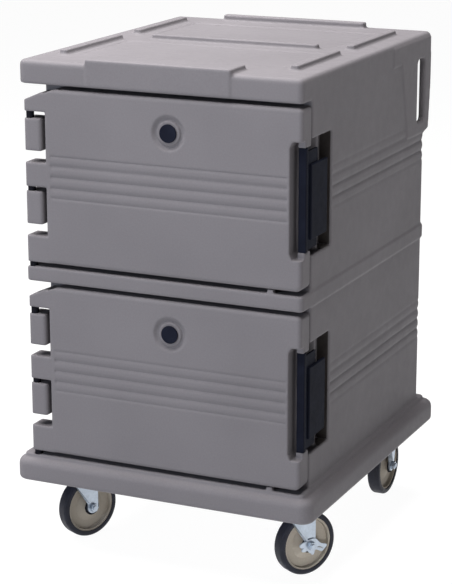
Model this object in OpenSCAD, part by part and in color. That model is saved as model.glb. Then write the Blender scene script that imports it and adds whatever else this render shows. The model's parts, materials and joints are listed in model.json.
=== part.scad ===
// Enclosed two-compartment meal tray cart with insulated double walls.
// X runs to the right as seen from the doors, Y to the rear and Z up.
// The origin is on the floor, under the middle of the base.

/* [Base] */
// Width of the bumper base
base_w = 748; // [720:1:800]
// Depth of the bumper base, front to rear
base_d = 838; // [800:1:900]
// Height of the bumper base
base_h = 64.5; // [58:0.5:80]
// Plan radius of the base corners
base_corner = 30; // [26:1:60]
// Radius of the shoulder above the base's upright face
base_edge = 18; // [12:1:22]
// Height of the raised lip that the cabinet stands on
base_lip_h = 9; // [6:0.5:12]
// Inset of the raised lip from the edges of the base
base_lip_inset = 16; // [14:1:16]

/* [Cabinet] */
// Right edge of the top and doors, inside the right edge of the base
latch_setback = 31; // [28:1:45]
// Left edge of the top, inside the left edge of the base
hinge_setback = 26; // [24:1:40]
// Thickness of the top at its front edge
top_t = 53; // [40:1:70]
// Front of the doors and top, behind the front of the base
front_setback = 15; // [10:1:30]
// Back wall, ahead of the rear of the base
rear_setback = 42; // [36:1:60]
// Left wall, inside the left edge of the top
hinge_inset = 40; // [38:1:50]
// Thickness of the insulated walls
wall_t = 50; // [40:1:60]
// Thickness of the moulded plastic skin
skin = 6; // [4:0.5:8]
// Height of the belt between the doors
belt_h = 36; // [30:1:50]
// How far the belt stands out from the walls
belt_proud = 3.5; // [2:0.5:5]
// Radius of the cabinet's rear corners
rear_corner = 15; // [12:1:25]
// Gap above and below each door
door_gap = 9; // [6:0.5:14]
// Width of the compartment frame that each door covers
frame_w = 36; // [25:1:45]

/* [Tray rails] */
// Rails on each side of a compartment
rail_count = 7; // [3:1:9]
// Distance from one rail to the next
rail_pitch = 40; // [30:1:42]
// How far a rail stands out from the wall
rail_w = 16; // [10:1:22]
// Thickness of a rail at the wall
rail_t = 13; // [8:1:16]

/* [Doors] */
// Height of each door
door_h = 401; // [380:1:420]
// Thickness of each door
door_t = 50; // [44:1:56]
// Gap between a closed door and the cabinet frame
seal_gap = 6; // [4:0.5:8]
// Width of the door seal
seal_w = 14; // [8:1:18]
// Clear space between the closed seal and the frame
seal_clear = 0.3; // [0.2:0.1:1]
// Radius of the door's edges at the front
door_edge = 9; // [4:0.5:10]

/* [Flutes] */
// Rolls in each band of flutes
flute_count = 4; // [2:1:5]
// Height of one roll
flute_pitch = 25.2; // [20:0.2:28]
// Top of the flutes, below the top of the door
flute_drop = 149; // [140:1:170]
// How deep the valley between rolls is
flute_valley = 3.2; // [2:0.1:4]

/* [Hinges] */
// Hinge axis to the left edge of the door
hinge_to_door = 41; // [40:1:50]
// Hinge axis behind the front of the door
hinge_depth = 13; // [11:1:15]
// Width of the knuckles on the outer side of the axis
knuckle_out = 11; // [10.5:0.5:13]
// Diameter of the hinge pins
hinge_pin_d = 18; // [12:1:18]
// Radial running clearance of the hinge pins
pin_clear = 0.1; // [0.05:0.01:0.1]
// Length of a hinge pin inside its knuckle
pin_up = 20; // [15:1:22]
// Length of a hinge pin inside its socket
pin_down = 22; // [15:1:24]

/* [Latches] */
// Height of the latch handle
latch_h = 228; // [200:1:240]
// Bottom of the latch handle, above the bottom of the door
latch_z = 85; // [75:1:100]
// Space above and below the latch handle in its recess
latch_lug = 15; // [10:1:18]
// Width and depth of the latch handle's bar
bar_w = 18; // [14:1:18]
// Diameter of the latch pivot pin
latch_pin_d = 8; // [6:1:10]
// Depth of the recess in the cabinet's side
recess_d = 32; // [26:1:36]
// Length of the recess behind the door frame
recess_l = 112; // [105:1:130]
// Width of the keeper rib
keeper_w = 14; // [10:1:16]

/* [Vents] */
// Diameter of the vent cap
cap_d = 41; // [36:1:46]
// Diameter of the dish around the vent
dish_d = 82; // [76:1:90]
// Depth of the dish
dish_depth = 7; // [5:0.5:8]
// Centre of the vent, below the top of the door
vent_drop = 77; // [70:1:90]
// Centre of the vent, right of the cart's middle
vent_x = 26.5; // [-60:0.5:60]

/* [Handles] */
// Thickness of the handle web
ear_t = 14; // [10:1:16]
// Height of the hand slot
slot_h = 155; // [120:1:160]
// Width of the hand slot
slot_w = 53; // [40:1:60]

/* [Casters] */
// Diameter of the wheels
wheel_d = 152.4; // [127:0.1:160]
// Width of the wheels
wheel_w = 32; // [28:1:36]
// Thickness of the tyre
tyre_t = 12.7; // [8:0.1:16]
// Height of a caster from floor to plate top
caster_h = 192.5; // [190:0.5:205]
// Distance from kingpin to axle
trail = 36; // [28:1:40]
// Casters, inside the left and right edges of the base
caster_inset = 90; // [84:1:110]
// Shift of all casters towards the hinge side
caster_shift = 18; // [0:1:20]
// Front kingpins, behind the front of the base
front_caster_inset = 157; // [140:1:180]
// Rear axles, ahead of the rear of the base
rear_caster_inset = 77; // [77:1:100]
// Direction in which the left front caster trails
swivel_left = 63.5; // [0:0.5:90]
// Direction in which the right front caster trails
swivel_right = 57.5; // [0:0.5:90]
// Thickness of the caster's sheet steel
steel_t = 4; // [3:0.5:5]
// Diameter of the axles and kingpins
axle_d = 12; // [10:0.5:12.5]
// Radial running clearance of axles and kingpins
run_clear = 0.05; // [0.02:0.01:0.1]

/* [Hidden] */
$fn = 48;

shell_colour = [0.46, 0.44, 0.46];
side_colour = [0.40, 0.385, 0.39];
foam_colour = [0.93, 0.87, 0.66];
seal_colour = [0.16, 0.16, 0.17];
latch_colour = [0.10, 0.11, 0.15];
zinc_colour = [0.72, 0.75, 0.78];
tyre_colour = [0.17, 0.18, 0.22];
hub_colour = [0.50, 0.47, 0.43];

// Plan positions
front_y = -base_d / 2 + front_setback;
rear_y = base_d / 2;
back_y = base_d / 2 - rear_setback;
top_left = -base_w / 2 + hinge_setback;
top_right = base_w / 2 - latch_setback;
wall_left = top_left + hinge_inset;
wall_right = top_right;
door_back = front_y + door_t;
frame_y = door_back + seal_gap;
// Base
base_sole = 10;                   // radius of the base's lower edge
lip_overhang = 8;                 // lip beyond the right wall
lip_corner = 14;
lip_edge = 2.5;
base_wall = 34;                   // solid border round the hollow of the base
// Heights
base_top = caster_h + base_h;
lower_z = base_top + door_gap;
belt_z = lower_z + door_h + door_gap;
upper_z = belt_z + belt_h + door_gap;
top_z = upper_z + door_h + door_gap;
roof_z = top_z + top_t;
door_levels = [lower_z, upper_z];
// Hinge
axis_x = wall_left - 16;
axis_y = front_y + hinge_depth;
door_left = axis_x + hinge_to_door;
knuckle_x = axis_x - knuckle_out;
block_right = axis_x + 33;
knuckle_r = 9;                    // rounded upright edges of knuckles and blocks
pin_r = hinge_pin_d / 2;
// Heights of the hinge pieces below the top of the door: [top, bottom]
door_knuckles = [[28, 53], [169, 225], [338, door_h - 0.5]];
hinge_blocks = [[68, 143], [235, 312]];
// Each pin leaves a knuckle's underside and drops onto the socket below it
pin_tops = [for (k = door_knuckles) door_h - k[1]];
socket_tops = [door_h - hinge_blocks[0][0], door_h - hinge_blocks[1][0], -door_gap];
pin_rest = 0.3;                   // play under a pin's foot
// Bays
bay_left = wall_left + wall_t + 2;
bay_right = wall_right - wall_t - 3;
bay_back = back_y - wall_t;
bay_h = door_h - 2 * frame_w;
bay_corner = 25;
bay_edge = 15;
rail_front = frame_y + 26;
rail_back = bay_back - 24;
// Latch
bar_r = bar_w / 2;
pivot_x = top_right + 1 - bar_r;
pivot_y = front_y + 29;
pocket_left = top_right - 29;
pocket_back = pivot_y + bar_r + 2.5;
through_left = pivot_x - bar_r - 1;
lug_front = pivot_y - bar_r - 1;
handle_x = top_right - 9;             // inner face of the handle's side flange
flange_t = 5;
flange_back = front_y + 95;
flange_drop = 10;                 // top of the flange below that of the bar
paddle_back = front_y + 143;
paddle_t = 7;
paddle_low = 22;                  // paddle's ends, inside those of the bar
paddle_high = 40;
keeper_back = frame_y + 68;
keeper_crest = top_right - 14;
latch_pin_r = latch_pin_d / 2;
// Vent
cap_r = cap_d / 2;
boss_r = 29;
boss_drop = 2.4;                  // boss face behind the door's face
stem_r = 9;
stem_clear = 0.3;
vent_seal_t = 1.6;
cap_proud = 2;
// Casters
wheel_r = wheel_d / 2;
axle_r = axle_d / 2;
hub_r = wheel_r - tyre_t;
bushing_r = 8;
leg_y = wheel_w / 2 + 4;          // inner face of a fork leg
foot_r = 15;                      // rounded foot of a fork leg
fold_w = 9;                       // width of a leg's folded edge
plate_w = 100;
plate_l = 114;
hole_x = 76;                      // bolt spacing across the plate
hole_y = 88;
bolt_r = 4;
bolt_up = 32;                     // bolt length inside the base
race_z = caster_h - steel_t;      // underside of the mounting plate
race_h = 8;
ball_ring_r = 27;
ball_r = 3;
ball_count = 14;
crown_z = race_z - race_h - 2 * ball_r - 1;
brake_t = 3;
plate_x_left = -base_w / 2 + caster_inset - caster_shift;
plate_x_right = base_w / 2 - caster_inset - caster_shift;
front_caster_y = -base_d / 2 + front_caster_inset;
rear_caster_y = base_d / 2 - rear_caster_inset;

// ---------- shared shapes ----------

// Strip of an edge profile: the outer face is at x = 0 and the strip reaches w inward.
module edge_strip(w, h, above, below) {
    difference() {
        translate([-w, 0]) square([w, h]);
        if (above > 0) translate([-above, h - above]) corner_waste(above);
        if (below > 0) translate([-below, below]) mirror([0, 1]) corner_waste(below);
    }
}

// What a rounded corner of radius r takes away.
module corner_waste(r) {
    difference() {
        square(r + 1);
        circle(r);
    }
}

// Slab with an edge profile run round its plan. c holds the plan radii from the
// front left corner round to the back left one; each is larger than the strip's width w.
module profiled_slab(x0, x1, y0, y1, c, w, h) {
    linear_extrude(h) polygon([
        [x0 + w, y0 + c[0]], [x0 + c[0], y0 + c[0]], [x0 + c[0], y0 + w],
        [x1 - c[1], y0 + w], [x1 - c[1], y0 + c[1]], [x1 - w, y0 + c[1]],
        [x1 - w, y1 - c[2]], [x1 - c[2], y1 - c[2]], [x1 - c[2], y1 - w],
        [x0 + c[3], y1 - w], [x0 + c[3], y1 - c[3]], [x0 + w, y1 - c[3]]]);
    edge_run([x1, y1 - c[2]], 0, y1 - y0 - c[1] - c[2]) children();
    edge_run([x0 + c[3], y1], 90, x1 - x0 - c[2] - c[3]) children();
    edge_run([x0, y0 + c[0]], 180, y1 - y0 - c[0] - c[3]) children();
    edge_run([x1 - c[1], y0], 270, x1 - x0 - c[0] - c[1]) children();
    edge_corner([x1 - c[2], y1 - c[2]], 0, c[2], w, h) children();
    edge_corner([x0 + c[3], y1 - c[3]], 90, c[3], w, h) children();
    edge_corner([x0 + c[0], y0 + c[0]], 180, c[0], w, h) children();
    edge_corner([x1 - c[1], y0 + c[1]], 270, c[1], w, h) children();
}

// Straight run of an edge profile, facing +X before it is turned.
module edge_run(at, turn, run) {
    translate(at) rotate([0, 0, turn]) rotate([90, 0, 0]) linear_extrude(run) children();
}

// Quarter turn of an edge profile about the centre of a plan corner.
module edge_corner(at, turn, r, w, h) {
    translate(at) rotate([0, 0, turn]) rotate_extrude(angle = 90) {
        translate([r, 0]) children();
        square([r - w, h]);
    }
}

// Slab with rounded upper and lower edges.
module soft_slab(x0, x1, y0, y1, z0, z1, c, above, below) {
    w = max(above, below);
    translate([0, 0, z0]) profiled_slab(x0, x1, y0, y1, c, w, z1 - z0)
        edge_strip(w, z1 - z0, above, below);
}

// The same slab stood upright: its rounded faces look to the front and the rear.
module upright_slab(x0, x1, z0, z1, front, back, c, edge_front, edge_back) {
    w = max(edge_front, edge_back);
    translate([0, back, 0]) rotate([90, 0, 0]) profiled_slab(x0, x1, z0, z1, c, w, back - front)
        edge_strip(w, back - front, edge_front, edge_back);
}

// Box from one corner to the opposite one.
module span(low, high) {
    translate(low) cube(high - low);
}

// Box with its upright edges rounded to plan_r and all its other edges to edge_r.
module soft_box(low, high, plan_r, edge_r) {
    intersection() {
        translate([0, 0, low[2]]) linear_extrude(high[2] - low[2])
            rounded_rect([low[0], low[1]], [high[0], high[1]], plan_r);
        translate([0, high[1] + 1, 0]) rotate([90, 0, 0]) linear_extrude(high[1] - low[1] + 2)
            rounded_rect([low[0], low[2]], [high[0], high[2]], edge_r);
        translate([low[0] - 1, 0, 0]) rotate([90, 0, 90]) linear_extrude(high[0] - low[0] + 2)
            rounded_rect([low[1], low[2]], [high[1], high[2]], edge_r);
    }
}

module rounded_rect(low, high, r) {
    translate([low[0] + r, low[1]]) square([high[0] - low[0] - 2 * r, high[1] - low[1]]);
    translate([low[0], low[1] + r]) square([high[0] - low[0], high[1] - low[1] - 2 * r]);
    for (x = [low[0] + r, high[0] - r], y = [low[1] + r, high[1] - r]) translate([x, y]) circle(r);
}

// Waste between the rolls of a band of flutes: x points outward from the wall's face.
module flute_waste() {
    crest = 0.3;                  // rolls are cut off flush with the wall
    rise = flute_valley + crest;
    r = (pow(flute_pitch / 2, 2) + pow(rise, 2)) / (2 * rise);
    difference() {
        translate([-flute_valley, 0]) square([flute_valley + 1, flute_pitch * flute_count]);
        for (i = [0:flute_count - 1])
            translate([crest - r, flute_pitch * (i + 0.5)]) circle(r);
    }
}

// ---------- cabinet ----------

module base_solid() {
    c = base_corner;
    r = lip_corner;
    shelf = base_top - base_lip_h;
    soft_slab(-base_w / 2, base_w / 2, -base_d / 2, rear_y, caster_h, shelf, [c, c, c, c],
        base_edge, base_sole);
    soft_slab(-base_w / 2 + base_lip_inset, wall_right + lip_overhang,
        -base_d / 2 + base_lip_inset, rear_y - base_lip_inset, shelf - 2, base_top,
        [r, r, r, r], lip_edge, 0);
}

module tower() {
    r = rear_corner;
    difference() {
        translate([0, 0, base_top - 2]) linear_extrude(top_z - base_top + 4) {
            rounded_rect([wall_left, frame_y + 2 * r], [wall_right, back_y], r);
            rounded_rect([wall_left, frame_y], [wall_right, back_y - r], 3);
        }
        for (z = door_levels) flute_ring(z) flute_waste();
    }
}

// Runs a flute profile along the two sides and the back, and round the rear corners.
module flute_ring(z) {
    side_front = frame_y + recess_l + 6;
    side_l = back_y - rear_corner - side_front;
    left_front = frame_y + 30;
    translate([0, 0, z + door_h - flute_drop - flute_pitch * flute_count]) {
        edge_run([wall_right, back_y - rear_corner], 0, side_l) children();
        edge_run([wall_left + rear_corner, back_y], 90, wall_right - wall_left - 2 * rear_corner)
            children();
        edge_run([wall_left, left_front], 180, back_y - rear_corner - left_front) children();
        rear_turn([wall_right - rear_corner, back_y - rear_corner], 0) children();
        rear_turn([wall_left + rear_corner, back_y - rear_corner], 90) children();
    }
}

module rear_turn(at, turn) {
    translate(at) rotate([0, 0, turn]) rotate_extrude(angle = 90)
        translate([rear_corner, 0]) children();
}

module belt() {
    p = belt_proud;
    z1 = belt_z + belt_h;
    soft_slab(wall_left - p, wall_right + p, front_y, back_y + p, belt_z, z1,
        [12, 12, rear_corner, rear_corner], 5, 5);
    soft_box([knuckle_x - 1, front_y, belt_z], [wall_left + 20, door_back, z1], 7, 5);
    door_nub(z1);
}

// Small pad under the free side of a door, which keeps it level as it closes.
module door_nub(z) {
    span([top_right - 81, front_y + 3, z - 1], [top_right - 67, front_y + 17, z + door_gap - 0.5]);
}

// Rails that a second cart or a tray stack rests between
ridge_w = 20;
ridge_h = 11;
left_ridge = top_left + 48;
right_ridge = top_right - 56 - ridge_w;
ridge_mid = 20;                   // cross rail, behind the cart's middle
panel_depth = 2;
front_block = [left_ridge + 123, right_ridge - 89];

module roof() {
    difference() {
        soft_slab(top_left, top_right, front_y, rear_y, top_z, roof_z, [20, 13, 15, 15], 11, 5);
        roof_panel([left_ridge + 38, front_y + 137], [right_ridge - 27, ridge_mid - 53]);
        roof_panel([left_ridge + 50, ridge_mid + 40], [right_ridge - 35, rear_y - 104]);
    }
    // Raised front block
    soft_box([front_block[0], front_y - 2.5, top_z + 1],
        [front_block[1], front_y + 79, roof_z + ridge_h], 6, 5);
    roof_rail([left_ridge, front_y + 109], [left_ridge + ridge_w, ridge_mid - 37], ridge_h);
    roof_rail([left_ridge, ridge_mid + 52], [left_ridge + ridge_w, rear_y - 85], ridge_h);
    roof_rail([right_ridge, front_y + 111], [right_ridge + ridge_w, ridge_mid - 65], ridge_h);
    roof_rail([right_ridge, ridge_mid + 16], [right_ridge + ridge_w, rear_y - 103], ridge_h);
    roof_rail([left_ridge + 80, ridge_mid - ridge_w / 2], [right_ridge - 62, ridge_mid + ridge_w / 2],
        ridge_h);
    roof_rail([left_ridge + 95, rear_y - 34], [right_ridge - 91, rear_y - 10], ridge_h + 3);
}

// Shallow panel sunk into the roof.
module roof_panel(low, high) {
    span([low[0], low[1], roof_z - panel_depth], [high[0], high[1], roof_z + 1]);
}

module roof_rail(low, high, h) {
    soft_box([low[0], low[1], roof_z - 4], [high[0], high[1], roof_z + h], 6, 4);
}

// Outline of a handle pad, as [y, z]
ear_top = top_z + 4;
ear_bottom = top_z - 188;
ear_rear = rear_y - 2;
ear_r = 16;                       // rounding of the handles' rear edges, seen from above
module ear_section(front_top, front_bottom) {
    polygon([[front_top, ear_top], [front_bottom, ear_bottom + 3], [back_y, ear_bottom],
        [ear_rear - 18, ear_bottom + 5], [ear_rear, top_z - 4], [ear_rear, ear_top]]);
}

module ear_plate(x, w, front_top, front_bottom) {
    translate([x, 0, 0]) rotate([90, 0, 90]) linear_extrude(w) ear_section(front_top, front_bottom);
}

slot_z = top_z - 5 - slot_h;
slot_y = rear_y - 52 - slot_w;
module hand_slot(x, w) {
    r = 12;
    translate([x, 0, 0]) rotate([90, 0, 90]) linear_extrude(w) union() {
        translate([slot_y + r, slot_z]) square([slot_w - 2 * r, slot_h]);
        translate([slot_y, slot_z + r]) square([slot_w, slot_h - 2 * r]);
        for (y = [slot_y + r, slot_y + slot_w - r], z = [slot_z + r, slot_z + slot_h - r])
            translate([y, z]) circle(r);
    }
}

pocket_floor = ear_bottom + 12;
pocket_front = slot_y - 14;
pocket_depth = 28;                // finger room behind the right handle
left_ear_front = slot_y - 26;
pad_t = 2.5;
module ears() {
    intersection() {
        union() {
            ear_plate(wall_right - ear_t, ear_t + pad_t, rear_y - 217, rear_y - 169);
            span([wall_right - 8, rear_y - 271, top_z + 1],
                [wall_right + pad_t, rear_y - 12, roof_z - 11]);
            ear_plate(top_left, ear_t, left_ear_front, left_ear_front + 10);
        }
        translate([0, 0, ear_bottom - 1]) linear_extrude(roof_z - ear_bottom)
            rounded_rect([top_left - 1, 0], [wall_right + pad_t + 1, ear_rear + 1], ear_r);
    }
    // Bridges from the left handle to the wall
    low = [top_left + 1, left_ear_front + 10, ear_bottom + 6];
    span(low, [wall_left + 3, left_ear_front + 22, top_z + 1]);
    span(low, [wall_left + 3, back_y - 8, pocket_floor]);
}

module ear_cuts() {
    span([wall_right - ear_t - pocket_depth, pocket_front, pocket_floor],
        [wall_right - ear_t, rear_y, top_z]);
    hand_slot(wall_right - ear_t - 1, ear_t + pad_t + 2);
    hand_slot(top_left - 1, ear_t + 2);
}

module hinge_block(z, span_z) {
    z1 = z + door_h - span_z[0];
    z0 = z + door_h - span_z[1];
    soft_box([knuckle_x, front_y, z0], [block_right, door_back, z1], knuckle_r, 4);
    span([wall_left + 1, door_back - 8, z0 + 4], [block_right, frame_y + 2, z1 - 4]);
}

module pin_sockets(z) {
    for (t = socket_tops)
        translate([axis_x, axis_y, z + t - pin_down - pin_rest])
            cylinder(r = pin_r + pin_clear, h = pin_down + pin_rest + 1);
}

module bay(z) {
    c = bay_corner;
    translate([0, frame_y - 1, 0]) mirror([0, 1, 0])
        upright_slab(bay_left, bay_right, z + frame_w, z + frame_w + bay_h,
            -(bay_back - frame_y + 1), 0, [c, c, c, c], bay_edge, 0);
}

module bay_rails(z) {
    first = z + frame_w + (bay_h - rail_pitch * (rail_count - 1)) / 2 - rail_t / 2;
    for (i = [0:rail_count - 1]) {
        rail([bay_left - 1, rail_front, first + i * rail_pitch], 1);
        rail([bay_right + 1, rail_front, first + i * rail_pitch], -1);
    }
}

// A moulded ledge with a level top and a tapered underside.
module rail(at, side) {
    translate(at) rotate([90, 0, 0]) mirror([0, 0, 1])
        linear_extrude(rail_back - rail_front)
            polygon([[0, 0], [side * (rail_w + 1), rail_t * 0.45], [side * (rail_w + 1), rail_t],
                [0, rail_t]]);
}

module latch_recess(z) {
    z0 = z + latch_z - latch_lug;
    z1 = z + latch_z + latch_h + latch_lug;
    difference() {
        span([wall_right - recess_d, frame_y - 1, z0], [wall_right + 3, frame_y + recess_l, z1]);
        // Keeper rib that stays standing in the recess
        translate([0, 0, z0 - 1]) linear_extrude(z1 - z0 + 2) polygon([
            [wall_right - recess_d - 1, keeper_back - keeper_w - 8],
            [keeper_crest, keeper_back - keeper_w + 4], [keeper_crest, keeper_back],
            [wall_right - recess_d - 1, keeper_back]]);
    }
}

module for_each_caster() {
    for (x = [plate_x_left, plate_x_right], y = [front_caster_y, rear_caster_y])
        translate([x, y, 0]) children();
}

module for_each_bolt() {
    for (x = [-hole_x / 2, hole_x / 2], y = [-hole_y / 2, hole_y / 2]) translate([x, y, 0]) children();
}

module bolt_bores(r, z, h) {
    for_each_caster() for_each_bolt() translate([0, 0, z]) cylinder(r = r, h = h);
}

// Closed hollow between the outer and inner skins, drawn in by c for its filling.
module cabinet_hollow(c) {
    s = skin + c;
    difference() {
        union() {
            span([wall_left + s, frame_y + s, base_top - 10], [wall_right - s, back_y - s, top_z + 8]);
            span([top_left + s + 8, front_y + s + 6, top_z + s],
                [top_right - s - 4, rear_y - s - 4, roof_z - s]);
            span([-base_w / 2 + s + base_wall, -base_d / 2 + s + base_wall, caster_h + s],
                [base_w / 2 - s - base_wall, rear_y - s - base_wall, base_top - s]);
        }
        for (z = door_levels) {
            span([bay_left - s, frame_y - 1, z + frame_w - s],
                [bay_right + s, bay_back + s, z + frame_w + bay_h + s]);
            span([wall_right - recess_d - s, frame_y - 1, z + latch_z - latch_lug - s],
                [wall_right + 3, frame_y + recess_l + s, z + latch_z + latch_h + latch_lug + s]);
        }
        span([wall_right - ear_t - pocket_depth - s, pocket_front - s, pocket_floor - s],
            [wall_right + 3, rear_y + 1, top_z + s]);
        span([top_left, left_ear_front, pocket_floor], [wall_left + s, rear_y + 1, top_z + s]);
        // Solid bosses round the caster bolts
        bolt_bores(bolt_r + s, caster_h, bolt_up + s);
        // Solid floor under the lowest hinge pin
        span([-base_w / 2, -base_d / 2, caster_h], [wall_left + s, frame_y + s, base_top]);
    }
}

module cabinet_shell() {
    color(side_colour) {
        difference() {
            union() {
                difference() {
                    union() {
                        base_solid();
                        tower();
                        belt();
                        roof();
                        ears();
                        for (z = door_levels) for (b = hinge_blocks) hinge_block(z, b);
                        door_nub(base_top);
                    }
                    for (z = door_levels) {
                        bay(z);
                        latch_recess(z);
                    }
                    ear_cuts();
                }
                for (z = door_levels) bay_rails(z);
            }
            cabinet_hollow(0);
            for (z = door_levels) pin_sockets(z);
            bolt_bores(bolt_r + 0.2, caster_h - 1, bolt_up + 2);
        }
    }
}

module cabinet_insulation() {
    color(foam_colour) cabinet_hollow(0.2);
}

// ---------- doors ----------

module door_outer(z) {
    top = z + door_h;
    upright_slab(door_left, top_right, z, top, front_y, door_back, [11, 15, 11, 11], door_edge, 2);
    // The top knuckle runs out from the door's shoulder as a wedge
    difference() {
        soft_box([knuckle_x, front_y, top - 53], [door_left + 20, door_back, top - 9], knuckle_r, 4);
        translate([0, front_y - 1, 0]) rotate([-90, 0, 0]) linear_extrude(door_t + 2)
            polygon([[knuckle_x - 1, -top + 28.5], [door_left + 12, -top + 0.5],
                [door_left + 12, -top - 20], [knuckle_x - 1, -top - 20]]);
    }
    for (k = [door_knuckles[1], door_knuckles[2]])
        soft_box([knuckle_x, front_y, top - k[1]], [door_left + 12, door_back, top - k[0]],
            knuckle_r, 4);
}

// Chamfers the door's shoulder down to the top knuckle.
module shoulder_cut(z) {
    top = z + door_h;
    translate([0, front_y - 1, 0]) rotate([-90, 0, 0]) linear_extrude(door_t + 2)
        polygon([[door_left - 2, -top + 10.4], [door_left + 26, -top], [door_left + 26, -top - 2],
            [door_left - 2, -top - 2]]);
}

// Front face of the door is at y = 0 and the vent runs to +Y.
module vent_place(z) {
    translate([vent_x, front_y, z + door_h - vent_drop]) rotate([-90, 0, 0]) children();
}

module vent_dish() {
    difference() {
        translate([0, 0, -1])
            cylinder(r1 = dish_d / 2 + 1, r2 = dish_d / 2 - dish_depth - 1, h = dish_depth + 1);
        translate([0, 0, boss_drop]) cylinder(r1 = boss_r - 2, r2 = boss_r + 1, h = dish_depth);
    }
}

module latch_pocket(z) {
    z0 = z + latch_z - latch_lug;
    z1 = z + latch_z + latch_h + latch_lug;
    zb0 = z + latch_z - 0.6;
    zb1 = z + latch_z + latch_h + 0.6;
    bevel = 6;
    // Finger dish beside the bar
    translate([0, pocket_back, 0]) rotate([90, 0, 0]) linear_extrude(door_t)
        polygon([[pocket_left + bevel, z0], [through_left, z0], [through_left, z1],
            [pocket_left + bevel, z1], [pocket_left, z1 - 2 * bevel], [pocket_left, z0 + 2 * bevel]]);
    // Notch that sets the two lugs back from the door's face
    span([through_left - 1, front_y - 1, z0], [top_right + 1, lug_front, z1]);
    // Space for the bar itself, between its lugs
    span([through_left - 3, front_y - 1, zb0], [top_right + 1, pocket_back, zb1]);
    // Way out to the rear for the handle's side flange
    span([handle_x - 3, front_y - 1, zb0], [top_right + 1, door_back + 1, zb1]);
}

module latch_pin_bore(z, r, reach) {
    translate([pivot_x, pivot_y, z + latch_z - reach]) cylinder(r = r, h = latch_h + 2 * reach);
}

latch_pin_reach = 7;              // how far the latch pin runs into each lug

module knuckle_bores(z) {
    for (t = pin_tops)
        translate([axis_x, axis_y, z + t - 1]) cylinder(r = pin_r + pin_clear, h = pin_up + 1);
}

module door_hollow(z, c) {
    s = skin + c;
    difference() {
        span([door_left + s + 2, front_y + s, z + s], [top_right - s, door_back - s,
            z + door_h - s - 10]);
        span([pocket_left - s, front_y, z + latch_z - latch_lug - s],
            [top_right, door_back, z + latch_z + latch_h + latch_lug + s]);
        vent_place(z) {
            cylinder(r = stem_r + stem_clear + s, h = door_t);
            cylinder(r = dish_d / 2 - dish_depth + s, h = dish_depth + s);
        }
    }
}

module door_flutes(z) {
    translate([0, 0, z + door_h - flute_drop - flute_pitch * flute_count])
        edge_run([pocket_left - 5, front_y], 270, pocket_left - 5 - door_left - 14) children();
}

module door_shell(z) {
    color(shell_colour) {
        difference() {
            door_outer(z);
            door_flutes(z) flute_waste();
            shoulder_cut(z);
            door_hollow(z, 0);
            vent_place(z) vent_dish();
            vent_place(z) cylinder(r = stem_r + stem_clear, h = door_t + 1);
            latch_pocket(z);
            latch_pin_bore(z, latch_pin_r + run_clear, latch_pin_reach);
            knuckle_bores(z);
        }
    }
}

module door_insulation(z) {
    color(foam_colour) door_hollow(z, 0.2);
}

module door_seal(z) {
    t = seal_gap - seal_clear;
    m = 12;                       // seal's outer edge outside the bay opening
    color(seal_colour) difference() {
        span([bay_left - m, door_back, z + frame_w - m],
            [bay_right + m, door_back + t, z + frame_w + bay_h + m]);
        span([bay_left - m + seal_w, door_back - 1, z + frame_w - m + seal_w],
            [bay_right + m - seal_w, door_back + t + 1, z + frame_w + bay_h + m - seal_w]);
    }
}

module hinge_pins(z) {
    color(seal_colour) for (i = [0:2]) {
        foot = z + socket_tops[i] - pin_down;
        head = z + pin_tops[i] + pin_up;
        translate([axis_x, axis_y, foot]) {
            cylinder(r = pin_r, h = head - foot - 2);
            translate([0, 0, head - foot - 2]) cylinder(r1 = pin_r, r2 = pin_r - 2, h = 2);
        }
    }
}

module latch_handle(z) {
    z0 = z + latch_z;
    z1 = z0 + latch_h;
    hook_h = latch_h - paddle_low - paddle_high - 8;
    color(latch_colour) difference() {
        union() {
            translate([pivot_x, pivot_y, z0]) linear_extrude(latch_h) {
                circle(bar_r);
                rounded_rect([-bar_r, -bar_r], [bar_r, 0], 2.5);
            }
            span([handle_x, pivot_y, z0 + 1], [handle_x + flange_t, flange_back,
                z1 - flange_drop]);
            // Raised grip paddle, with the hook along its inner side
            soft_box([handle_x + 3, door_back + 1, z0 + paddle_low],
                [handle_x + 3 + paddle_t, paddle_back, z1 - paddle_high], 3, 2);
            translate([0, 0, z0 + paddle_low + 4]) linear_extrude(hook_h)
                polygon([[handle_x + 4, keeper_back + 4], [keeper_crest + 0.5, keeper_back + 4],
                    [keeper_crest + 0.5, keeper_back + 8], [handle_x + 4, keeper_back + 14]]);
        }
        latch_pin_bore(z, latch_pin_r + run_clear, 1);
    }
}

module latch_pin(z) {
    color(zinc_colour) latch_pin_bore(z, latch_pin_r, latch_pin_reach - 0.3);
}

module vent_cap(z) {
    color(latch_colour) vent_place(z) rotate_extrude() {
        difference() {
            union() {
                translate([0, -cap_proud]) square([cap_r, cap_proud + boss_drop - vent_seal_t]);
                square([stem_r, door_t + 0.3]);
                translate([0, door_t + 0.3]) square([stem_r + 5, 3]);
            }
            translate([cap_r - 1.6, -cap_proud + 1.6]) mirror([0, 1]) corner_waste(1.6);
        }
    }
}

module vent_seal(z) {
    color(seal_colour) vent_place(z) translate([0, 0, boss_drop - vent_seal_t + 0.1]) difference() {
        cylinder(r = cap_r - 1, h = vent_seal_t - 0.4);
        translate([0, 0, -1]) cylinder(r = stem_r + 0.1, h = vent_seal_t + 2);
    }
}

// ---------- casters ----------

// Caster frame: +X is the way the caster trails and the wheel's axle lies along Y.
module front_left() {
    translate([plate_x_left, front_caster_y, 0]) rotate([0, 0, swivel_left]) children();
}

module front_right() {
    translate([plate_x_right, front_caster_y, 0]) rotate([0, 0, swivel_right]) children();
}

module rear_left() {
    translate([plate_x_left, rear_caster_y, 0]) rotate([0, 0, 90]) children();
}

module rear_right() {
    translate([plate_x_right, rear_caster_y, 0]) rotate([0, 0, 90]) children();
}

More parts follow.
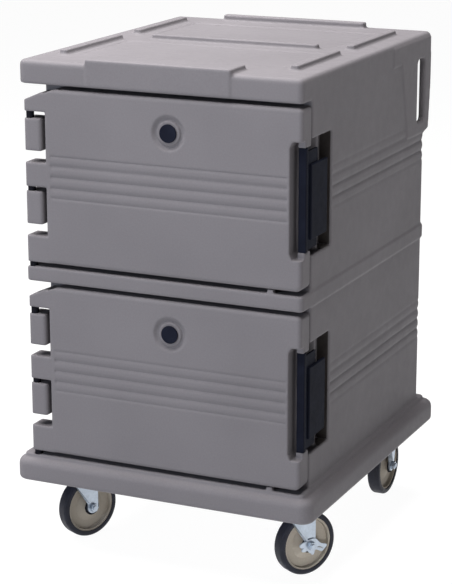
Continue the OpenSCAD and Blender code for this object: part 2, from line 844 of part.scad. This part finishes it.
module plate_blank() {
    translate([0, 0, race_z]) linear_extrude(steel_t) difference() {
        rounded_rect([-plate_w / 2, -plate_l / 2], [plate_w / 2, plate_l / 2], 8);
        for_each_bolt() circle(bolt_r + 0.4);
    }
}

// Mounting plate of a swivel caster, with the upper ball race pressed into it.
module swivel_plate() {
    color(zinc_colour) difference() {
        union() {
            plate_blank();
            translate([0, 0, race_z]) mirror([0, 0, 1]) rotate_extrude() difference() {
                square([ball_ring_r + 12, race_h]);
                translate([ball_ring_r, race_h]) circle(ball_r + 0.3);
                translate([ball_ring_r + 12 - 3, race_h - 3]) corner_waste(3);
            }
        }
        translate([0, 0, race_z - race_h - 1])
            cylinder(r = axle_r + run_clear, h = race_h + steel_t + 2);
    }
}

module front_left_plate() {
    translate([plate_x_left, front_caster_y, 0]) swivel_plate();
}

module front_right_plate() {
    translate([plate_x_right, front_caster_y, 0]) swivel_plate();
}

module kingpin() {
    top = caster_h - 0.3;
    nut_z = crown_z - steel_t - 9;
    color(zinc_colour) {
        translate([0, 0, nut_z]) cylinder(r = axle_r, h = top - nut_z);
        translate([0, 0, crown_z - steel_t - 8.3]) cylinder(r = 10, h = 8, $fn = 6);
    }
}

module swivel_balls() {
    color(zinc_colour) for (i = [0:ball_count - 1]) rotate([0, 0, i * 360 / ball_count])
        translate([ball_ring_r, 0, race_z - race_h]) sphere(ball_r, $fn = 24);
}

// Outline of one fork leg seen along the axle, as [x, z].
module leg_outline(reach, front, back) {
    polygon([[front, crown_z - steel_t / 2], [reach - foot_r, wheel_r + 12], [reach - foot_r, wheel_r],
        [reach + foot_r, wheel_r], [back, crown_z - steel_t / 2]]);
    translate([reach, wheel_r]) circle(foot_r);
}

// Strip along the front edge of a leg, which is folded outward to stiffen it.
module fold_outline(reach, front) {
    lip = 0.5;
    polygon([[front - lip, crown_z - steel_t - 1], [reach - foot_r - lip, wheel_r + 16],
        [reach - foot_r - lip + steel_t, wheel_r + 16], [front - lip + steel_t, crown_z - steel_t - 1]]);
}

module fork_legs(reach, front, back) {
    outer = leg_y + steel_t;
    for (side = [-1, 1]) {
        translate([0, side * (leg_y + steel_t / 2), 0]) rotate([90, 0, 0])
            linear_extrude(steel_t, center = true) leg_outline(reach, front, back);
        translate([0, side * (outer + fold_w / 2 - 1), 0]) rotate([90, 0, 0])
            linear_extrude(fold_w, center = true) fold_outline(reach, front);
    }
}

module axle_cut(reach) {
    translate([reach, 0, wheel_r]) rotate([90, 0, 0])
        cylinder(r = axle_r + run_clear, h = 2 * (leg_y + steel_t) + 30, center = true);
}

module swivel_fork() {
    under = crown_z - steel_t;
    front = -34;
    back = trail + foot_r;
    color(zinc_colour) difference() {
        union() {
            fork_legs(trail, front, back);
            span([front - 1, -leg_y - steel_t - 1, under], [back + 1, leg_y + steel_t + 1, crown_z]);
            // Lower ball race
            translate([0, 0, crown_z - 1]) rotate_extrude() difference() {
                square([ball_ring_r + 9, race_z - race_h - crown_z]);
                translate([ball_ring_r, race_z - race_h - crown_z + 1]) circle(ball_r + 0.3);
            }
        }
        translate([0, 0, under - 1]) cylinder(r = axle_r + run_clear, h = race_z - under);
        axle_cut(trail);
    }
}

// Fork of a rigid caster: a box section joins its legs to the mounting plate.
module rigid_fork() {
    half = 38;
    outer = leg_y + steel_t + 1;
    color(zinc_colour) difference() {
        union() {
            rotate([0, 0, 90]) plate_blank();
            fork_legs(0, -half + 1, half - 1);
            span([-half, -outer, crown_z - steel_t], [half, outer, race_z + 1]);
        }
        span([-half + steel_t, -outer + steel_t, crown_z], [half - steel_t, outer - steel_t, race_z]);
        axle_cut(0);
    }
}

// Bolt through the fork and wheel; its nut stands off the leg by room.
module axle(reach, room) {
    half = leg_y + steel_t;
    head_h = 7.5;
    nut_h = 8;
    color(zinc_colour) translate([reach, 0, wheel_r]) rotate([90, 0, 0]) {
        translate([0, 0, -half - head_h]) cylinder(r = axle_r, h = 2 * half + head_h + room + nut_h + 3);
        translate([0, 0, -half - head_h - 0.3]) cylinder(r = 10.5, h = head_h, $fn = 6);
        translate([0, 0, half + room]) cylinder(r = 10.5, h = nut_h, $fn = 6);
    }
}

module bushing(reach) {
    color(zinc_colour) translate([reach, 0, wheel_r]) rotate([90, 0, 0]) difference() {
        cylinder(r = bushing_r, h = 2 * leg_y - 0.4, center = true);
        cylinder(r = axle_r + run_clear, h = 2 * leg_y + 2, center = true);
    }
}

module guards(reach) {
    t = 2;
    color(seal_colour) for (side = [-1, 1])
        translate([reach, side * (leg_y - 0.3 - t / 2), wheel_r]) rotate([90, 0, 0]) difference() {
            cylinder(r = 20, h = t, center = true);
            cylinder(r = bushing_r + run_clear, h = t + 2, center = true);
        }
}

module hub(reach) {
    web = 9;
    bore = bushing_r + run_clear;
    boss = wheel_w + 2;
    rim = wheel_w - 6;
    half = [[bore, boss / 2], [bore + 9, boss / 2], [bore + 9, 12], [bore + 30, web / 2],
        [hub_r - 6, web / 2], [hub_r - 4, rim / 2], [hub_r, rim / 2]];
    below = [for (i = [len(half) - 1:-1:0]) [half[i][0], -half[i][1]]];
    color(hub_colour) translate([reach, 0, wheel_r]) rotate([90, 0, 0]) rotate_extrude()
        polygon(concat(half, below));
}

module tyre(reach) {
    shoulder = 7;
    color(tyre_colour) translate([reach, 0, wheel_r]) rotate([90, 0, 0]) rotate_extrude()
        translate([hub_r, -wheel_w / 2]) difference() {
            square([tyre_t, wheel_w]);
            translate([tyre_t - shoulder, wheel_w - shoulder]) corner_waste(shoulder);
            translate([tyre_t - shoulder, shoulder]) mirror([0, 1]) corner_waste(shoulder);
        }
}

// Foot lever on the outer end of the axle, with a forked toe plate.
module brake_plate() {
    t = brake_t;
    out = leg_y + steel_t + 0.4;
    color(zinc_colour) translate([trail, 0, wheel_r]) difference() {
        union() {
            translate([0, -out, 0]) rotate([90, 0, 0]) linear_extrude(t) union() {
                circle(15);
                polygon([[-4, -14], [34, -22], [44, -16], [44, -6], [10, 12]]);
            }
            translate([0, -out - t, 0]) rotate([0, 8, 0]) span([24, -26, -17], [62, 1, -13.5]);
        }
        rotate([90, 0, 0]) cylinder(r = axle_r + 0.1, h = 200, center = true);
        // Slot that forks the toe plate
        translate([0, -out - t, 0]) rotate([0, 8, 0]) span([46, -16, -30], [70, -8, 0]);
    }
}

module caster_bolts() {
    color(zinc_colour) for_each_caster() for_each_bolt() {
        translate([0, 0, race_z - 5.8]) cylinder(r = 7.5, h = 5.5, $fn = 6);
        translate([0, 0, race_z - 5]) cylinder(r = bolt_r, h = steel_t + bolt_up + 4);
    }
}

cabinet_shell();
cabinet_insulation();
caster_bolts();
door_shell(upper_z);  // upper_door_shell
door_insulation(upper_z);  // upper_door_insulation
door_seal(upper_z);  // upper_door_seal
hinge_pins(upper_z);  // upper_hinge_pins
latch_handle(upper_z);  // upper_latch_handle
latch_pin(upper_z);  // upper_latch_pin
vent_cap(upper_z);  // upper_vent_cap
vent_seal(upper_z);  // upper_vent_seal
door_shell(lower_z);  // lower_door_shell
door_insulation(lower_z);  // lower_door_insulation
door_seal(lower_z);  // lower_door_seal
hinge_pins(lower_z);  // lower_hinge_pins
latch_handle(lower_z);  // lower_latch_handle
latch_pin(lower_z);  // lower_latch_pin
vent_cap(lower_z);  // lower_vent_cap
vent_seal(lower_z);  // lower_vent_seal
front_left_plate();
front_left() kingpin();  // front_left_kingpin
front_left() swivel_balls();  // front_left_balls
front_left() swivel_fork();  // front_left_fork
front_left() axle(trail, 0.3);  // front_left_axle
front_left() bushing(trail);  // front_left_bushing
front_left() guards(trail);  // front_left_guards
front_left() hub(trail);  // front_left_hub
front_left() tyre(trail);  // front_left_tyre
front_right_plate();
front_right() kingpin();  // front_right_kingpin
front_right() swivel_balls();  // front_right_balls
front_right() swivel_fork();  // front_right_fork
front_right() axle(trail, brake_t + 0.8);  // front_right_axle
front_right() bushing(trail);  // front_right_bushing
front_right() guards(trail);  // front_right_guards
front_right() hub(trail);  // front_right_hub
front_right() tyre(trail);  // front_right_tyre
front_right() brake_plate();  // brake_lever
rear_left() rigid_fork();  // rear_left_fork
rear_left() axle(0, 0.3);  // rear_left_axle
rear_left() bushing(0);  // rear_left_bushing
rear_left() guards(0);  // rear_left_guards
rear_left() hub(0);  // rear_left_hub
rear_left() tyre(0);  // rear_left_tyre
rear_right() rigid_fork();  // rear_right_fork
rear_right() axle(0, 0.3);  // rear_right_axle
rear_right() bushing(0);  // rear_right_bushing
rear_right() guards(0);  // rear_right_guards
rear_right() hub(0);  // rear_right_hub
rear_right() tyre(0);  // rear_right_tyre
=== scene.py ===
"""Looks of the enclosed meal tray cart: materials, softened mouldings, studio and camera."""

import json
import math

import bmesh
import bpy
import numpy as np
from mathutils import Matrix, Vector

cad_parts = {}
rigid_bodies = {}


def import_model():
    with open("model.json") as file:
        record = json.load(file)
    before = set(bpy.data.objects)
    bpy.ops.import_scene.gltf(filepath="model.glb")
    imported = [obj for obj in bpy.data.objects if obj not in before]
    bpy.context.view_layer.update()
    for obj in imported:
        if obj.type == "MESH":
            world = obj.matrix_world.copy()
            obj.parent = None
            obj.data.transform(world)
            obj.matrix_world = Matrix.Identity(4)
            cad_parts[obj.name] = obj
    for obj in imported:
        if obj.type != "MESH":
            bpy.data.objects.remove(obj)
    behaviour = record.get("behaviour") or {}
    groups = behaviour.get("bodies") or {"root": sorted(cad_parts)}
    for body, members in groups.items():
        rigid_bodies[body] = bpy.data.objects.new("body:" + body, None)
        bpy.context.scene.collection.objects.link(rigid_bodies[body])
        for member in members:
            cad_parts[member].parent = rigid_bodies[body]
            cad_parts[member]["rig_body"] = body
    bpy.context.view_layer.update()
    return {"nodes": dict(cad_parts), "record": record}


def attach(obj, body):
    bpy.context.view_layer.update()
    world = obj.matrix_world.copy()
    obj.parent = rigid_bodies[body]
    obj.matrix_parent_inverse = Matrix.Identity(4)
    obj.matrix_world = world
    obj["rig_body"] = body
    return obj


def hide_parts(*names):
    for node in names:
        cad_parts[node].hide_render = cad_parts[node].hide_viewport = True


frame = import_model()
NODES = frame["nodes"]
MM = 0.001

# ---------- helpers for node materials ----------


def new_material(name):
    """An empty node material, its tree and its Principled shader."""
    material = bpy.data.materials.new(name)
    material.use_nodes = True
    return material, material.node_tree, material.node_tree.nodes["Principled BSDF"]


def noise(tree, scale, detail=3.0, roughness=0.5, stretch=(1, 1, 1)):
    """Noise in object space; scale is in cycles per metre."""
    coords = tree.nodes.new("ShaderNodeTexCoord")
    mapping = tree.nodes.new("ShaderNodeMapping")
    mapping.inputs["Scale"].default_value = stretch
    texture = tree.nodes.new("ShaderNodeTexNoise")
    texture.inputs["Scale"].default_value = scale
    texture.inputs["Detail"].default_value = detail
    texture.inputs["Roughness"].default_value = roughness
    tree.links.new(coords.outputs["Object"], mapping.inputs["Vector"])
    tree.links.new(mapping.outputs["Vector"], texture.inputs["Vector"])
    return texture.outputs["Fac"]


def remap(tree, value, low, high, start=0.3, end=0.7):
    """Maps a value from start..end to low..high; noise lies mostly within 0.3..0.7."""
    node = tree.nodes.new("ShaderNodeMapRange")
    node.inputs["From Min"].default_value = start
    node.inputs["From Max"].default_value = end
    node.inputs["To Min"].default_value = low
    node.inputs["To Max"].default_value = high
    tree.links.new(value, node.inputs["Value"])
    return node.outputs["Result"]


def shaded(tree, colour, *factors):
    """Base colour times one or more factors."""
    rgb = tree.nodes.new("ShaderNodeRGB")
    rgb.outputs[0].default_value = (*colour, 1)
    result = rgb.outputs[0]
    for factor in factors:
        scale = tree.nodes.new("ShaderNodeVectorMath")
        scale.operation = "SCALE"
        tree.links.new(result, scale.inputs[0])
        tree.links.new(factor, scale.inputs["Scale"])
        result = scale.outputs["Vector"]
    return result


def bumped(tree, shader, layers):
    """Stacks bumps; each layer is (height, distance in metres, strength)."""
    normal = None
    for height, distance, strength in layers:
        bump = tree.nodes.new("ShaderNodeBump")
        bump.inputs["Distance"].default_value = distance
        bump.inputs["Strength"].default_value = strength
        tree.links.new(height, bump.inputs["Height"])
        if normal is not None:
            tree.links.new(normal, bump.inputs["Normal"])
        normal = bump.outputs["Normal"]
    tree.links.new(normal, shader.inputs["Normal"])


def edge_mask(tree, radius):
    """1 on sharp edges, within radius in metres and broken up by noise, and 0 on flat faces."""
    bevel = tree.nodes.new("ShaderNodeBevel")
    bevel.samples = 4
    bevel.inputs["Radius"].default_value = radius
    geometry = tree.nodes.new("ShaderNodeNewGeometry")
    dot = tree.nodes.new("ShaderNodeVectorMath")
    dot.operation = "DOT_PRODUCT"
    tree.links.new(bevel.outputs["Normal"], dot.inputs[0])
    tree.links.new(geometry.outputs["Normal"], dot.inputs[1])
    mask = remap(tree, dot.outputs["Value"], 1.0, 0.0, start=0.75, end=0.99)
    broken = tree.nodes.new("ShaderNodeMath")
    broken.operation = "MULTIPLY"
    tree.links.new(mask, broken.inputs[0])
    patches = remap(tree, noise(tree, 70, 4, 0.65), 0.0, 1.0, start=0.35, end=0.65)
    tree.links.new(patches, broken.inputs[1])
    return broken.outputs["Value"]


def edge_wear_and_highlight(tree, surface, colour, gain, radius):
    """Blends a surface's colour towards gain times its base colour along sharp edges; this is
    edge wear, and on the black plastics also a painted highlight.
    """
    mix = tree.nodes.new("ShaderNodeMix")
    mix.data_type = "RGBA"
    mix.inputs["B"].default_value = (*(gain * value for value in colour), 1)
    tree.links.new(edge_mask(tree, radius), mix.inputs["Factor"])
    tree.links.new(surface, mix.inputs["A"])
    return mix.outputs["Result"]


# ---------- materials ----------

MOULD_EDGE = 4 * MM  # width of the scuffed band along an edge
SHARP_EDGE = 1.2 * MM


def moulded_plastic(name, colour, rough=(0.42, 0.56), grain=0.25, edge_gain=1.22):
    """Rotomoulded polyethylene: faint clouds of tone, a fine mottle and a soft skin."""
    material, tree, shader = new_material(name)
    clouds = remap(tree, noise(tree, 3.5, 3), 0.95, 1.05)
    mottle = remap(tree, noise(tree, 260, 4, 0.6), 0.95, 1.05)
    surface = shaded(tree, colour, clouds, mottle)
    edge_blend = edge_wear_and_highlight(tree, surface, colour, edge_gain, MOULD_EDGE)
    tree.links.new(edge_blend, shader.inputs["Base Color"])
    tree.links.new(remap(tree, noise(tree, 40, 4), *rough), shader.inputs["Roughness"])
    skin = noise(tree, 900, 2)
    dimples = noise(tree, 130, 3)
    walls = noise(tree, 7, 1)
    layers = [(walls, 4 * MM, 0.25), (dimples, 0.6 * MM, grain), (skin, 0.2 * MM, grain)]
    bumped(tree, shader, layers)
    shader.inputs["Specular IOR Level"].default_value = 0.045
    return material


def black_plastic(name, colour, rough=(0.34, 0.46), edge_gain=2.5):
    """Injection-moulded nylon with a fine sparked grain, and painted highlights along its sharp
    edges.
    """
    material, tree, shader = new_material(name)
    surface = shaded(tree, colour, remap(tree, noise(tree, 30, 3), 0.85, 1.15))
    # painted highlight: sharp edges are lightened up to 2.5 times, standing in for the glint
    # they catch
    edge_blend = edge_wear_and_highlight(tree, surface, colour, edge_gain, SHARP_EDGE)
    tree.links.new(edge_blend, shader.inputs["Base Color"])
    tree.links.new(remap(tree, noise(tree, 90, 3), *rough), shader.inputs["Roughness"])
    bumped(tree, shader, [(noise(tree, 1600, 2), 0.1 * MM, 0.3)])
    shader.inputs["Specular IOR Level"].default_value = 0.008
    return material


def zinc_plate(name, colour, rough=(0.3, 0.5), edge_gain=0.45):
    """Bright zinc over pressed sheet steel, with faint spangle and duller edges."""
    material, tree, shader = new_material(name)
    spangle = remap(tree, noise(tree, 120, 4, 0.65), 0.86, 1.1)
    stain = remap(tree, noise(tree, 18, 3), 0.92, 1.04)
    surface = shaded(tree, colour, spangle, stain)
    edge_blend = edge_wear_and_highlight(tree, surface, colour, edge_gain, SHARP_EDGE)
    tree.links.new(edge_blend, shader.inputs["Base Color"])
    tree.links.new(remap(tree, noise(tree, 60, 4), *rough), shader.inputs["Roughness"])
    shader.inputs["Metallic"].default_value = 0.9
    bumped(tree, shader, [(noise(tree, 400, 3, stretch=(1, 1, 0.2)), 0.1 * MM, 0.2)])
    return material


def tyre_rubber(name, colour):
    """Rubber tread with a satin skin and light road dust."""
    material, tree, shader = new_material(name)
    dust = remap(tree, noise(tree, 45, 5, 0.6), 0.85, 1.3)
    tree.links.new(shaded(tree, colour, dust), shader.inputs["Base Color"])
    tree.links.new(remap(tree, noise(tree, 80, 4), 0.4, 0.6), shader.inputs["Roughness"])
    bumped(tree, shader, [(noise(tree, 700, 3), 0.2 * MM, 0.25)])
    shader.inputs["Specular IOR Level"].default_value = 0.2
    return material


def foam(name, colour):
    """Closed-cell foam of the sealed filling."""
    material, tree, shader = new_material(name)
    cells = remap(tree, noise(tree, 350, 4), 0.85, 1.1)
    tree.links.new(shaded(tree, colour, cells), shader.inputs["Base Color"])
    shader.inputs["Roughness"].default_value = 0.9
    bumped(tree, shader, [(noise(tree, 700, 2), 0.8 * MM, 0.6)])
    return material


def soft_rubber(name, colour):
    """Extruded seal, and the dull black sheet that paints the shade in the latch recesses."""
    material, tree, shader = new_material(name)
    tone = remap(tree, noise(tree, 60, 3), 0.85, 1.2)
    tree.links.new(shaded(tree, colour, tone), shader.inputs["Base Color"])
    tree.links.new(remap(tree, noise(tree, 150, 2), 0.55, 0.7), shader.inputs["Roughness"])
    bumped(tree, shader, [(noise(tree, 900, 2), 0.1 * MM, 0.3)])
    return material


HUB_LOOK = {"rough": (0.35, 0.5), "grain": 0.12, "edge_gain": 1.8}
MATERIALS = {
    "moulded_shell": moulded_plastic("moulded_grey", (0.172, 0.162, 0.174)),
    "insulation_foam": foam("insulation", (0.86, 0.78, 0.55)),
    "seal": soft_rubber("seal_black", (0.034, 0.028, 0.027)),
    "black_nylon": black_plastic("nylon_black", (0.012, 0.012, 0.016)),
    "latch_plastic": black_plastic("latch_black", (0.011, 0.0125, 0.021)),
    "tyre": tyre_rubber("tyre_slate", (0.016, 0.017, 0.026)),
    "hub_plastic": moulded_plastic("hub_taupe", (0.35, 0.315, 0.268), **HUB_LOOK),
    "zinc": zinc_plate("zinc_bright", (0.50, 0.56, 0.64)),
}
SLOT_OF = {part["node"]: part["material_slot"] for part in frame["record"]["subparts"]}


def paint(obj, slot_name):
    """Gives an object the one material of its slot."""
    obj.data.materials.clear()
    obj.data.materials.append(MATERIALS[slot_name])


for node_name, node_object in NODES.items():
    paint(node_object, SLOT_OF[node_name])

# ---------- softened copies of the moulded shells ----------

SOFTEN_PASSES = 4
FACES_KEPT = 0.12  # share of the remeshed faces that stays


def outer_skin(node_name):
    """A welded copy of a node's mesh without any closed hollow inside it."""
    mesh = NODES[node_name].data.copy()
    bm = bmesh.new()
    bm.from_mesh(mesh)
    bmesh.ops.remove_doubles(bm, verts=bm.verts, dist=2e-6)
    islands = []
    left = set(bm.faces)
    while left:
        stack = [left.pop()]
        island = list(stack)
        while stack:
            for edge in stack.pop().edges:
                for face in edge.link_faces:
                    if face in left:
                        left.remove(face)
                        stack.append(face)
                        island.append(face)
        islands.append(island)

    def box_volume(island):
        points = np.array([v.co[:] for f in island for v in f.verts])
        return float(np.prod(points.max(0) - points.min(0)))

    keep = max(islands, key=box_volume)
    for island in islands:
        if island is not keep:
            bmesh.ops.delete(bm, geom=island, context="FACES")
    bm.to_mesh(mesh)
    bm.free()
    return mesh


def add_piece(name, mesh, body, slot_name):
    """Links a mesh as a piece that rides on a body."""
    obj = bpy.data.objects.new(name, mesh)
    bpy.context.scene.collection.objects.link(obj)
    paint(obj, slot_name)
    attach(obj, body)
    return obj


def evaluated_mesh(obj):
    """Mesh of an object, or of a curve, with its modifiers applied."""
    bpy.context.view_layer.update()
    graph = bpy.context.evaluated_depsgraph_get()
    return bpy.data.meshes.new_from_object(obj.evaluated_get(graph))


def bake_modifiers(obj):
    """Applies an object's modifiers to its mesh."""
    baked = evaluated_mesh(obj)
    old = obj.data
    obj.modifiers.clear()
    obj.data = baked
    bpy.data.meshes.remove(old)


def moulded(node_name, voxel):
    """Replaces a moulded shell by a copy whose edges are all rounded, as a mould leaves them."""
    body = NODES[node_name]["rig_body"]
    obj = add_piece(node_name + "_moulding", outer_skin(node_name), body, SLOT_OF[node_name])
    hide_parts(node_name)
    remesh = obj.modifiers.new("remesh", "REMESH")
    remesh.mode = "VOXEL"
    remesh.voxel_size = voxel
    soften = obj.modifiers.new("soften", "SMOOTH")
    soften.factor = 0.5
    soften.iterations = SOFTEN_PASSES
    bake_modifiers(obj)
    thin = obj.modifiers.new("thin", "DECIMATE")
    thin.ratio = FACES_KEPT
    bake_modifiers(obj)
    obj.data.shade_smooth()


moulded("cabinet_shell", 2.6 * MM)
moulded("upper_door_shell", 1.7 * MM)
moulded("lower_door_shell", 1.7 * MM)

# ---------- black sheets that paint the shade of the latch recesses ---

SHADE_SHEET_X = (311.4 * MM, 339.5 * MM)  # floor of the recess, and its mouth
SHADE_SHEET_Y = (-346 * MM, -236.6 * MM)  # front and rear end
KEEPER_Y = (-293 * MM, -281 * MM)  # the keeper rib, which stays bare
SHADE_SHEET_Z = (70.6 * MM, 327.4 * MM)  # above the foot of the door
SHADE_SHEET_T = 0.8 * MM


def painted_recess_shade(name, door_z):
    """Thin black sheet lining the recess that a latch handle closes into: painted shade for the
    recess.
    """
    x0, x1 = SHADE_SHEET_X
    y0, y1 = SHADE_SHEET_Y
    front, back = KEEPER_Y
    z0, z1 = (door_z + z for z in SHADE_SHEET_Z)
    plates = [
        [(x0, y0, z0), (x0, front, z0), (x0, front, z1), (x0, y0, z1)],
        [(x0, back, z0), (x0, y1, z0), (x0, y1, z1), (x0, back, z1)],
        [(x0, y1, z0), (x1, y1, z0), (x1, y1, z1), (x0, y1, z1)],
        [(x0, back, z1), (x0, y1, z1), (x1, y1, z1), (x1, back, z1)],
        [(x0, back, z0), (x1, back, z0), (x1, y1, z0), (x0, y1, z0)],
    ]
    bm = bmesh.new()
    for corners in plates:
        bm.faces.new([bm.verts.new(corner) for corner in corners])
    bmesh.ops.remove_doubles(bm, verts=bm.verts, dist=1e-6)
    mesh = bpy.data.meshes.new(name)
    bm.to_mesh(mesh)
    bm.free()
    obj = add_piece(name, mesh, "cabinet", "seal")
    thick = obj.modifiers.new("thick", "SOLIDIFY")
    thick.thickness = SHADE_SHEET_T
    thick.offset = 1
    bake_modifiers(obj)


# painted shade: a thin black sheet darkens each latch recess
painted_recess_shade("upper_recess_painted_shade", 721 * MM)
painted_recess_shade("lower_recess_painted_shade", 266 * MM)

# ---------- brake lever ----------

# Outlines of the pressed lever in mm from the axle: along the fork's trail, and up.
LEVER = [
    (-9, 14.5), (4, 16), (12, 14.5), (17, 11), (21, 5.5), (26, 1), (33, -2.5), (41, -4.5),
    (45, -7), (43, -12), (38, -15.5), (34, -19.5), (29.5, -20.5), (25, -18.5), (20.5, -15),
    (15, -13), (11, -12.5), (9.5, -18), (8, -23), (3, -24), (1, -19), (-3, -18.5), (-7, -14),
    (-10, -10), (-14, -12.5), (-25, -12), (-26, -5), (-16, -3), (-30, -1.5), (-32.5, 8.5),
    (-13, 11.5),
]  # fmt: skip
LEVER_SLOT = [
    (17, -6.5), (24, -6.5), (31, -10), (35, -13.5), (33, -15), (28.5, -12), (23, -9), (18, -9),
]  # fmt: skip
AXLE_BORE_R = 6.3
LEVER_T = 3 * MM
LEVER_EDGE = 0.5 * MM
LEVER_OUT = 24.4 * MM  # from the wheel's middle plane to the lever's inner face
KINGPIN = Vector((266, -262, 0)) * MM
SWIVEL = math.radians(57.5)
TRAIL = 36 * MM
AXLE_Z = 76.2 * MM


def ring(radius, count=32):
    """Points of a circle about the axle."""
    turns = [2 * math.pi * i / count for i in range(count)]
    return [(radius * math.cos(turn), radius * math.sin(turn)) for turn in turns]


def smooth_loop(points, rounds=2):
    """Cuts the corners of a closed outline."""
    for _ in range(rounds):
        cut = []
        for a, b in zip(points, points[1:] + points[:1]):
            cut.append((0.75 * a[0] + 0.25 * b[0], 0.75 * a[1] + 0.25 * b[1]))
            cut.append((0.25 * a[0] + 0.75 * b[0], 0.25 * a[1] + 0.75 * b[1]))
        points = cut
    return points


def pressing(name, loops, thickness, edge):
    """Mesh of a flat pressing: the first loop is its outline and the others are holes."""
    curve = bpy.data.curves.new(name, "CURVE")
    curve.dimensions = "2D"
    curve.fill_mode = "BOTH"
    curve.extrude = thickness / 2 - edge
    curve.bevel_depth = edge
    curve.bevel_resolution = 2
    for loop in loops:
        spline = curve.splines.new("POLY")
        spline.points.add(len(loop) - 1)
        for point, (u, v) in zip(spline.points, loop):
            point.co = (u * MM, v * MM, 0, 1)
        spline.use_cyclic_u = True
    obj = bpy.data.objects.new(name, curve)
    bpy.context.scene.collection.objects.link(obj)
    mesh = evaluated_mesh(obj)
    bpy.data.objects.remove(obj)
    return mesh


def brake_lever():
    """The lever that is pressed round the nut of the front right axle."""
    name = "brake_lever_pressing"
    loops = [smooth_loop(LEVER), ring(AXLE_BORE_R), smooth_loop(LEVER_SLOT)]
    mesh = pressing(name, loops, LEVER_T, LEVER_EDGE)
    along = Vector((math.cos(SWIVEL), math.sin(SWIVEL), 0))
    up = Vector((0, 0, 1))
    out = along.cross(up)
    place = Matrix((along, up, out)).transposed().to_4x4()
    place.translation = KINGPIN + TRAIL * along + AXLE_Z * up + (LEVER_OUT + LEVER_T / 2) * out
    mesh.transform(place)
    obj = add_piece(name, mesh, NODES["brake_lever"]["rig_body"], "zinc")
    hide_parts("brake_lever")


brake_lever()

# ---------- studio ----------

FLOOR_HALF = 200.0  # metres, so that the floor also fills low views
FLOOR_GLOW = 0.96  # the floor is nearly self-lit and takes only faint shadows
WARM = (1, 0.985, 0.97)
COOL = (0.76, 0.86, 1.0)


def floor():
    """Plain pale floor that runs past the whole view."""
    half = FLOOR_HALF
    mesh = bpy.data.meshes.new("floor")
    corners = [(-half, -half, 0), (half, -half, 0), (half, half, 0), (-half, half, 0)]
    mesh.from_pydata(corners, [], [(0, 1, 2, 3)])
    obj = bpy.data.objects.new("floor", mesh)
    bpy.context.scene.collection.objects.link(obj)
    material, _, shader = new_material("floor_white")
    shader.inputs["Base Color"].default_value = (0.10, 0.10, 0.10, 1)
    shader.inputs["Emission Color"].default_value = (1, 1, 1, 1)
    shader.inputs["Emission Strength"].default_value = FLOOR_GLOW
    shader.inputs["Roughness"].default_value = 0.9
    shader.inputs["Specular IOR Level"].default_value = 0.1
    mesh.materials.append(material)


def softbox(name, place, target, size, watts, colour=(1, 1, 1), spread_deg=180):
    """Rectangular area light at a place, turned towards a target."""
    light = bpy.data.lights.new(name, "AREA")
    light.shape = "RECTANGLE"
    light.size, light.size_y = size
    light.energy = watts
    light.spread = math.radians(spread_deg)
    light.color = colour
    obj = bpy.data.objects.new(name, light)
    bpy.context.scene.collection.objects.link(obj)
    obj.location = place
    direction = Vector(target) - obj.location
    obj.rotation_euler = direction.to_track_quat("-Z", "Y").to_euler()


def studio():
    """A large soft light from above left, a faint cool one in front and one for the wheel."""
    world = bpy.data.worlds.new("studio")
    world.use_nodes = True
    background = world.node_tree.nodes["Background"]
    background.inputs["Color"].default_value = (0.97, 0.98, 1.0, 1)
    background.inputs["Strength"].default_value = 0.05
    bpy.context.scene.world = world
    softbox("overhead", (-1.1, -0.5, 3.7), (-1.1, -0.5, 0), (4.2, 4.0), 395, WARM)
    softbox("front_fill", (-1.4, -5.0, 1.6), (-0.1, 0, 0.85), (2.0, 1.4), 78, COOL)
    wheel = (0.30, -0.24, 0.07)
    softbox("wheel_kicker", (1.2, -1.9, 0.12), wheel, (0.15, 0.15), 0.05, spread_deg=10)


def camera():
    """Camera fitted to the straight edges of the cart in the photograph; angles in degrees."""
    yaw = 24.706
    pitch = 15.117
    roll = -0.043
    place = (1.9646, -4.3148, 1.8675)
    data = bpy.data.cameras.new("camera")
    data.lens = 125.66
    data.sensor_width = 36
    obj = bpy.data.objects.new("camera", data)
    bpy.context.scene.collection.objects.link(obj)
    obj.location = place
    turn = Matrix.Rotation(math.radians(yaw), 4, "Z")
    tilt = Matrix.Rotation(math.radians(90 - pitch), 4, "X")
    lean = Matrix.Rotation(math.radians(roll), 4, "Z")
    obj.rotation_euler = (turn @ tilt @ lean).to_euler()
    bpy.context.scene.camera = obj


floor()
studio()
camera()
bpy.context.scene.view_settings.view_transform = "Standard"
